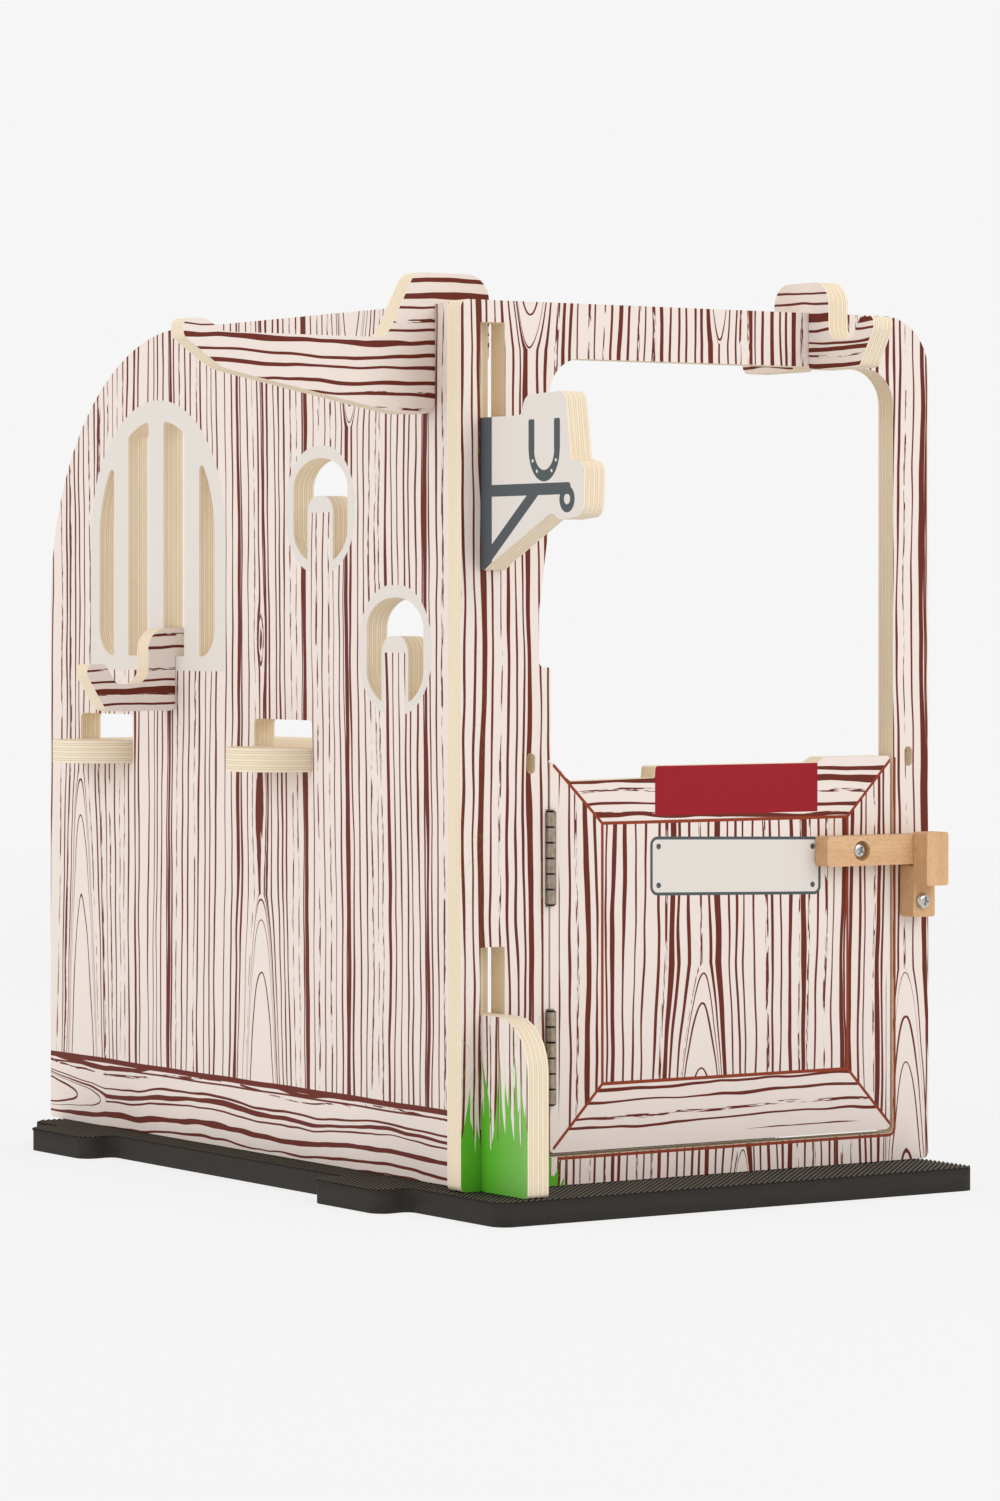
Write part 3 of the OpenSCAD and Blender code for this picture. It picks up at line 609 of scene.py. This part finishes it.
def foam_finish(foam, ribs):
    """Closed-cell foam: dull, faintly mottled, with tiny pores, and ribs of the given height with a painted
    highlight on their crests and painted shade in their valleys.
    """
    f = Finish("mat_foam")
    x, y, z = f.place()
    mottle = f.noise(x * 0.05, y * 0.05, z * 0.3, 3.0, 0.6)
    pores = f.noise(x * 1.7, y * 1.7, z * 1.7, 2.0, 0.7)
    shade = f.mix((mottle * 0.8 + pores * 0.5 + 0.35).clamp() * 0.55, foam, colour(56, 51, 46))
    shade = f.mix(soft_step(-pores - 0.2, 0.1) * 0.5, shade, colour(30, 28, 25))
    # Painted highlight: the crests of the ribs are lighter
    shade = f.mix(soft_step(z / ribs + 0.45, 0.5), shade, colour(87, 80, 70))
    # Painted shade: the valleys between the ribs, and the top of the mat's side, are darker
    shade = f.mix(soft_step(0.3 - abs(z / ribs + 0.95), 0.2) * 0.8, shade, colour(18, 16, 14))
    return f.surface(shade, pores * 0.2 + 0.82, height=pores, bump=0.35, depth=0.0002, ior=1.4)


# ---------------------------------------------------------------- meshes

def new_object(name, mesh):
    thing = bpy.data.objects.new(name, mesh)
    bpy.context.scene.collection.objects.link(thing)
    return thing


def node_tree(name, sockets):
    """Geometry node tree with a geometry in and out and named inputs."""
    tree = bpy.data.node_groups.new(name, "GeometryNodeTree")
    tree.interface.new_socket("Geometry", in_out="INPUT", socket_type="NodeSocketGeometry")
    tree.interface.new_socket("Geometry", in_out="OUTPUT", socket_type="NodeSocketGeometry")
    for label, kind, default in sockets:
        socket = tree.interface.new_socket(label, in_out="INPUT", socket_type=kind)
        if default is not None:
            socket.default_value = default
    return tree


def tree_node(tree, kind, inputs=None, **settings):
    node = tree.nodes.new(kind)
    for key, value in settings.items():
        setattr(node, key, value)
    for key, value in (inputs or {}).items():
        if isinstance(value, bpy.types.NodeSocket):
            tree.links.new(value, node.inputs[key])
        else:
            node.inputs[key].default_value = value
    return node


def run_tree(thing, tree, values):
    """Runs a tree on an object and leaves its result as the object's plain mesh."""
    modifier = thing.modifiers.new(tree.name, "NODES")
    modifier.node_group = tree
    for item in tree.interface.items_tree:
        if item.item_type == "SOCKET" and item.in_out == "INPUT" and item.name in values:
            modifier[item.identifier] = values[item.name]
    graph = bpy.context.evaluated_depsgraph_get()
    result = bpy.data.meshes.new_from_object(thing.evaluated_get(graph), depsgraph=graph)
    thing.modifiers.remove(modifier)
    result.name = thing.name
    thing.data = result
    return thing


def merged_copy(node, name):
    """Copy of a CAD node with its loose triangles joined."""
    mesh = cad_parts[node].data.copy()
    mesh.name = name
    mesh.materials.clear()
    work = bmesh.new()
    work.from_mesh(mesh)
    bmesh.ops.remove_doubles(work, verts=work.verts, dist=1e-6)
    work.to_mesh(mesh)
    work.free()
    return mesh


def rib_lines(mesh, top, pitch, turn, inset):
    """Mesh of edges: parallel lines across the mat, cut off at its outline."""
    work = bmesh.new()
    work.from_mesh(mesh)
    rim = []
    for edge in work.edges:
        tops = [all(abs(v.co.z - top) < TOUCH for v in face.verts) for face in edge.link_faces]
        if len(tops) == 2 and tops[0] != tops[1]:
            rim.append((edge.verts[0].co.xy.copy(), edge.verts[1].co.xy.copy()))
    work.free()
    way = Vector((math.cos(turn), math.sin(turn)))
    off = Vector((-way.y, way.x))
    places = [p.dot(off) for pair in rim for p in pair]
    count = int((max(places) - min(places)) / pitch)
    points, edges = [], []
    for i in range(count):
        level = min(places) + (i + 0.5) * pitch
        cuts = []
        for a, b in rim:
            da, db = a.dot(off) - level, b.dot(off) - level
            if (da < 0) != (db < 0):
                cuts.append((a + (b - a) * (da / (da - db))).dot(way))
        cuts.sort()
        for start, end in zip(cuts[::2], cuts[1::2]):
            if end - start > 4 * inset:
                for s in (start + inset, end - inset):
                    p = way * s + off * level
                    points.append((p.x, p.y, top))
                edges.append((len(points) - 2, len(points) - 1))
    lines = bpy.data.meshes.new("rib_lines")
    lines.from_pydata(points, edges, [])
    return lines


def rib_tree():
    """Turns lines into ribs with a rounded top, of a given width and height."""
    tree = node_tree("mat_ribs", [("Width", "NodeSocketFloat", 0.0015), ("Height", "NodeSocketFloat", 0.0008),
                                  ("Material", "NodeSocketMaterial", None)])
    start = tree.nodes.new("NodeGroupInput")
    path = tree_node(tree, "GeometryNodeMeshToCurve", {"Mesh": start.outputs["Geometry"]})
    level = tree_node(tree, "GeometryNodeSetCurveNormal", {"Curve": path.outputs[0]}, mode="Z_UP")
    ring = tree_node(tree, "GeometryNodeCurvePrimitiveCircle", {"Resolution": 8, "Radius": 1.0})
    half = tree_node(tree, "ShaderNodeMath", {0: start.outputs["Width"], 1: 0.5}, operation="MULTIPLY")
    size = tree_node(tree, "ShaderNodeCombineXYZ",
                     {0: half.outputs[0], 1: start.outputs["Height"], 2: 1.0})
    shape = tree_node(tree, "GeometryNodeTransform",
                      {"Geometry": ring.outputs[0], "Scale": size.outputs[0]})
    body = tree_node(tree, "GeometryNodeCurveToMesh",
                     {"Curve": level.outputs[0], "Profile Curve": shape.outputs[0], "Fill Caps": True})
    down = tree_node(tree, "ShaderNodeMath", {0: start.outputs["Height"], 1: -1.0}, operation="MULTIPLY")
    drop = tree_node(tree, "ShaderNodeCombineXYZ", {0: 0.0, 1: 0.0, 2: down.outputs[0]})
    sunk = tree_node(tree, "GeometryNodeSetPosition",
                     {"Geometry": body.outputs[0], "Offset": drop.outputs[0]})
    real = tree_node(tree, "GeometryNodeRealizeInstances", {"Geometry": sunk.outputs[0]})
    done = tree_node(tree, "GeometryNodeSetMaterial",
                     {"Geometry": real.outputs[0], "Material": start.outputs["Material"]})
    tree_node(tree, "NodeGroupOutput", {"Geometry": done.outputs[0]})
    return tree


def screw_mesh(name, head, height, shank, length):
    """Pan head screw along +Y, its head's underside at the origin."""
    steps = 12
    outline = [(0.0, -height)]
    for i in range(steps + 1):
        a = math.pi / 2 * i / steps
        outline.append((head * (0.45 + 0.55 * math.sin(a)) / 2, -height * (0.3 + 0.7 * math.cos(a))))
    outline += [(head / 2, 0.0), (shank / 2, 0.0), (shank / 2, length * 0.8), (0.0, length)]
    turns = 64
    points, faces, rings = [], [], []
    for r, y in outline:
        if r == 0.0:
            rings.append([len(points)] * turns)
            points.append((0.0, y, 0.0))
        else:
            rings.append([len(points) + k for k in range(turns)])
            points += [(r * math.cos(2 * math.pi * k / turns), y, r * math.sin(2 * math.pi * k / turns))
                       for k in range(turns)]
    for low, high in zip(rings, rings[1:]):
        for k in range(turns):
            quad = (low[k], low[(k + 1) % turns], high[(k + 1) % turns], high[k])
            faces.append(tuple(dict.fromkeys(quad)))
    mesh = bpy.data.meshes.new(name)
    mesh.from_pydata(points, [], faces)
    work = bmesh.new()
    work.from_mesh(mesh)
    bmesh.ops.recalc_face_normals(work, faces=work.faces)
    work.to_mesh(mesh)
    work.free()
    return mesh


def screw_tree():
    """Cuts a cross recess into a screw's head, turns the screw and sets it in its place."""
    tree = node_tree("cross_recess", [
        ("Recess", "NodeSocketFloat", 0.0011), ("Reach", "NodeSocketFloat", 0.0044),
        ("Depth", "NodeSocketFloat", 0.0016), ("Head", "NodeSocketFloat", 0.0026),
        ("Turn", "NodeSocketFloat", 0.0), ("Place", "NodeSocketVector", (0.0, 0.0, 0.0)),
        ("Material", "NodeSocketMaterial", None)])
    start = tree.nodes.new("NodeGroupInput")
    # Two crossed blocks sit halfway in the head's front, so each is twice as high as the recess is deep
    deep = tree_node(tree, "ShaderNodeMath", {0: start.outputs["Depth"], 1: 2.0}, operation="MULTIPLY")
    flat = tree_node(tree, "ShaderNodeCombineXYZ",
                     {0: start.outputs["Reach"], 1: deep.outputs[0], 2: start.outputs["Recess"]})
    tall = tree_node(tree, "ShaderNodeCombineXYZ",
                     {0: start.outputs["Recess"], 1: deep.outputs[0], 2: start.outputs["Reach"]})
    arms = [tree_node(tree, "GeometryNodeMeshCube", {"Size": size.outputs[0]}) for size in (flat, tall)]
    front = tree_node(tree, "ShaderNodeMath", {0: start.outputs["Head"], 1: -1.0}, operation="MULTIPLY")
    move = tree_node(tree, "ShaderNodeCombineXYZ", {0: 0.0, 1: front.outputs[0], 2: 0.0})
    cutters = [tree_node(tree, "GeometryNodeTransform",
                         {"Geometry": arm.outputs[0], "Translation": move.outputs[0]}) for arm in arms]
    cut = tree_node(tree, "GeometryNodeMeshBoolean",
                    {"Mesh 1": start.outputs["Geometry"], "Self Intersection": True},
                    operation="DIFFERENCE", solver="EXACT")
    for cutter in cutters:
        tree.links.new(cutter.outputs[0], cut.inputs["Mesh 2"])
    angle = tree_node(tree, "ShaderNodeCombineXYZ", {0: 0.0, 1: start.outputs["Turn"], 2: 0.0})
    spin = tree_node(tree, "FunctionNodeEulerToRotation", {0: angle.outputs[0]})
    put = tree_node(tree, "GeometryNodeTransform",
                    {"Geometry": cut.outputs[0], "Translation": start.outputs["Place"],
                     "Rotation": spin.outputs[0]})
    real = tree_node(tree, "GeometryNodeRealizeInstances", {"Geometry": put.outputs[0]})
    done = tree_node(tree, "GeometryNodeSetMaterial",
                     {"Geometry": real.outputs[0], "Material": start.outputs["Material"]})
    tree_node(tree, "NodeGroupOutput", {"Geometry": done.outputs[0]})
    return tree


# ---------------------------------------------------------------- operators

class STABLE_OT_boards(bpy.types.Operator):
    """Print the front panel, the side wall and the half door, and finish the shelf"""
    bl_idname = "stable.boards"
    bl_label = "Boards"

    def execute(self, context):
        look = context.scene.stable_print
        dress("front_panel", front_panel_finish(look))
        dress("side_wall", side_wall_finish(look))
        dress("half_door", half_door_finish(look))
        dress("inner_shelf", shelf_finish())
        return {"FINISHED"}


class STABLE_OT_hangers(bpy.types.Operator):
    """Print the rug rail and the two small hangers"""
    bl_idname = "stable.hangers"
    bl_label = "Hangers"

    def execute(self, context):
        look = context.scene.stable_print
        for node, axis, seed in (("rug_rail", 1, 71.0), ("bar_hanger", 0, 77.0), ("window_hanger", 1, 83.0)):
            dress(node, hanger_finish(look, node, axis, seed))
        return {"FINISHED"}


class STABLE_OT_fittings(bpy.types.Operator):
    """Finish the beech latch and catch and the steel hinges, and make the two pan head screws"""
    bl_idname = "stable.fittings"
    bl_label = "Latch, catch and hinges"

    def execute(self, context):
        look = context.scene.stable_fittings
        dress("latch_bar", beech_finish("latch_beech", look.beech, True, 0.0))
        dress("catch_base", beech_finish("catch_base_beech", look.beech, False, 6.0))
        dress("catch_lip", beech_finish("catch_lip_beech", look.beech, False, 11.0))
        for half in ("upper", "lower"):
            low, high = in_mm(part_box(half + "_hinge_post_leaf"))
            # Rings of painted shade where the knuckles meet, one knuckle length apart
            gap_shade = (low.z, (high.z - low.z) / KNUCKLES)
            hinge = metal_finish(half + "_hinge_steel", look.hinge, 0.7, 0.34, gap_shade)
            for part in ("_hinge_post_leaf", "_hinge_door_leaf", "_hinge_pin"):
                dress(half + part, hinge)
        screw = metal_finish("screw_steel", look.screw, 0.25, 0.24)
        dress("hinge_post_screws", screw)
        dress("hinge_door_screws", screw)
        tree = screw_tree()
        for name, node, body, turn in (("latch_pan_head", "latch_pivot_screw", "door", 0.5),
                                       ("catch_pan_head", "catch_screw", "frame", 0.2)):
            low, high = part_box(node)
            head, height, shank = high.x - low.x, 0.0026, 0.004
            place = Vector(((low.x + high.x) / 2, low.y + height, (low.z + high.z) / 2))
            thing = new_object(name, screw_mesh(name, head, height, shank, high.y - low.y - height))
            run_tree(thing, tree, {"Recess": look.recess, "Turn": turn, "Place": place, "Head": height,
                                   "Material": screw})
            thing.data.shade_smooth()
            thing.data.set_sharp_from_angle(angle=math.radians(35))
            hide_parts(node)
            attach(thing, body)
        return {"FINISHED"}


class STABLE_OT_mat(bpy.types.Operator):
    """Make the ribbed foam mat"""
    bl_idname = "stable.mat"
    bl_label = "Floor mat"

    def execute(self, context):
        look = context.scene.stable_mat
        foam = foam_finish(look.foam, look.rib_height * 1000)
        mesh = merged_copy("floor_mat", "ribbed_mat")
        top = max(v.co.z for v in mesh.vertices)
        lines = rib_lines(mesh, top, look.rib_pitch, look.rib_turn, inset=0.0002)
        lines = new_object("mat_ribs", lines)
        for v in mesh.vertices:
            if v.co.z > top - TOUCH:
                v.co.z -= look.rib_height
        mesh.materials.append(foam)
        mat = new_object("ribbed_mat", mesh)
        run_tree(lines, rib_tree(), {"Width": look.rib_pitch * 0.62, "Height": look.rib_height,
                                     "Material": foam})
        lines.data.shade_smooth()
        work = bmesh.new()
        work.from_mesh(mat.data)
        work.from_mesh(lines.data)
        work.to_mesh(mat.data)
        work.free()
        bpy.data.objects.remove(lines)
        mat.data.set_sharp_from_angle(angle=math.radians(40))
        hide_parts("floor_mat")
        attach(mat, "frame")
        return {"FINISHED"}


class STABLE_OT_stage(bpy.types.Operator):
    """Set up the pale floor, the lamps and the camera"""
    bl_idname = "stable.stage"
    bl_label = "Studio"

    def execute(self, context):
        look = context.scene.stable_stage
        scene = context.scene
        scene.view_settings.view_transform = "Standard"

        mesh = bpy.data.meshes.new("studio_floor")
        reach = 30.0
        mesh.from_pydata([(-reach, -reach, 0), (reach, -reach, 0), (reach, reach, 0), (-reach, reach, 0)],
                         [], [(0, 1, 2, 3)])
        floor = new_object("studio_floor", mesh)
        f = Finish("studio_paper")
        white = (look.ground, look.ground, look.ground, 1.0)
        seen = f.node("ShaderNodeLightPath", None, None, "Is Camera Ray")
        paper = f.node("ShaderNodeBsdfDiffuse", None, {"Color": (0.8, 0.8, 0.8, 1.0)})
        glow = f.node("ShaderNodeEmission", None, {"Color": white, "Strength": 1.0})
        # The camera sees a share of the light and shadow on the paper near the stable, and none further
        # out, so that no horizon shows; to all else the paper is an even glow that lights the stable's foot
        x, y, _ = f.place()
        near, fade, share = 900.0, 3000.0, 0.14
        bare = 1.0 - ((far_from(x, y, 0.0, 0.0) - near) / fade).clamp()
        blend = f.node("ShaderNodeMixShader", None, {0: 1.0 - seen * bare * share, 1: paper, 2: glow})
        mesh.materials.append(f.show(blend))

        world = bpy.data.worlds.new("studio")
        world.use_nodes = True
        scene.world = world
        tree = world.node_tree
        tree.nodes.clear()
        path = tree_node(tree, "ShaderNodeLightPath")
        either = tree_node(tree, "ShaderNodeMath",
                           {0: path.outputs["Is Camera Ray"], 1: path.outputs["Is Transmission Ray"]},
                           operation="MAXIMUM")
        fill = tree_node(tree, "ShaderNodeBackground", {0: (1.0, 0.995, 0.985, 1.0), 1: look.fill})
        back = tree_node(tree, "ShaderNodeBackground", {0: white})
        mix = tree_node(tree, "ShaderNodeMixShader",
                        {0: either.outputs[0], 1: fill.outputs[0], 2: back.outputs[0]})
        tree_node(tree, "ShaderNodeOutputWorld", {"Surface": mix.outputs[0]})

        aim = Vector((0.0, 0.0, 0.2))
        for name, spot, size, power in (("front_softbox", (0.6, -2.3, 1.5), 1.8, look.key),
                                        ("side_softbox", (-2.4, 0.3, 1.1), 1.8, look.key * 0.8),
                                        ("top_softbox", (0.3, 0.6, 2.6), 1.6, look.key * 0.5)):
            lamp = bpy.data.lights.new(name, "AREA")
            lamp.shape = "SQUARE"
            lamp.size = size
            lamp.energy = power
            thing = new_object(name, lamp)
            thing.location = spot
            thing.rotation_euler = (aim - Vector(spot)).to_track_quat("-Z", "Y").to_euler()

        camera = bpy.data.cameras.new("photo_camera")
        camera.sensor_fit = "HORIZONTAL"
        camera.sensor_width = 36.0
        camera.lens = look.lens
        camera.shift_y = -0.1356
        camera.clip_end = 100.0
        eye = new_object("photo_camera", camera)
        eye.location = (-1.438, -2.193, 0.2867)
        eye.rotation_euler = (math.radians(90.0), 0.0, math.radians(-33.44))
        scene.camera = eye
        return {"FINISHED"}


class STABLE_PT_dressing(bpy.types.Panel):
    """Sizes, colours and steps of the stable's dressing"""
    bl_label = "Stable"
    bl_idname = "STABLE_PT_dressing"
    bl_space_type = "VIEW_3D"
    bl_region_type = "UI"
    bl_category = "Stable"

    def draw(self, context):
        for title, group in GROUPS:
            box = self.layout.box()
            box.label(text=title)
            settings = getattr(context.scene, group)
            for key in settings.__annotations__:
                box.prop(settings, key)
        for step in STEPS:
            self.layout.operator(step.bl_idname)


GROUPS = (("Print", "stable_print"), ("Fittings", "stable_fittings"),
          ("Floor mat", "stable_mat"), ("Studio", "stable_stage"))
STEPS = (STABLE_OT_boards, STABLE_OT_hangers, STABLE_OT_fittings, STABLE_OT_mat, STABLE_OT_stage)
SETTINGS = (StablePrint, StableFittings, StableMat, StableStage)


def register():
    for kind in (*SETTINGS, *STEPS, STABLE_PT_dressing):
        bpy.utils.register_class(kind)
    for (_, group), kind in zip(GROUPS, SETTINGS):
        setattr(bpy.types.Scene, group, bpy.props.PointerProperty(type=kind))


def unregister():
    for _, group in GROUPS:
        delattr(bpy.types.Scene, group)
    for kind in reversed((*SETTINGS, *STEPS, STABLE_PT_dressing)):
        bpy.utils.unregister_class(kind)


def main():
    register()
    bpy.ops.stable.boards()
    bpy.ops.stable.hangers()
    bpy.ops.stable.fittings()
    bpy.ops.stable.mat()
    bpy.ops.stable.stage()


if __name__ == "__main__":
    main()
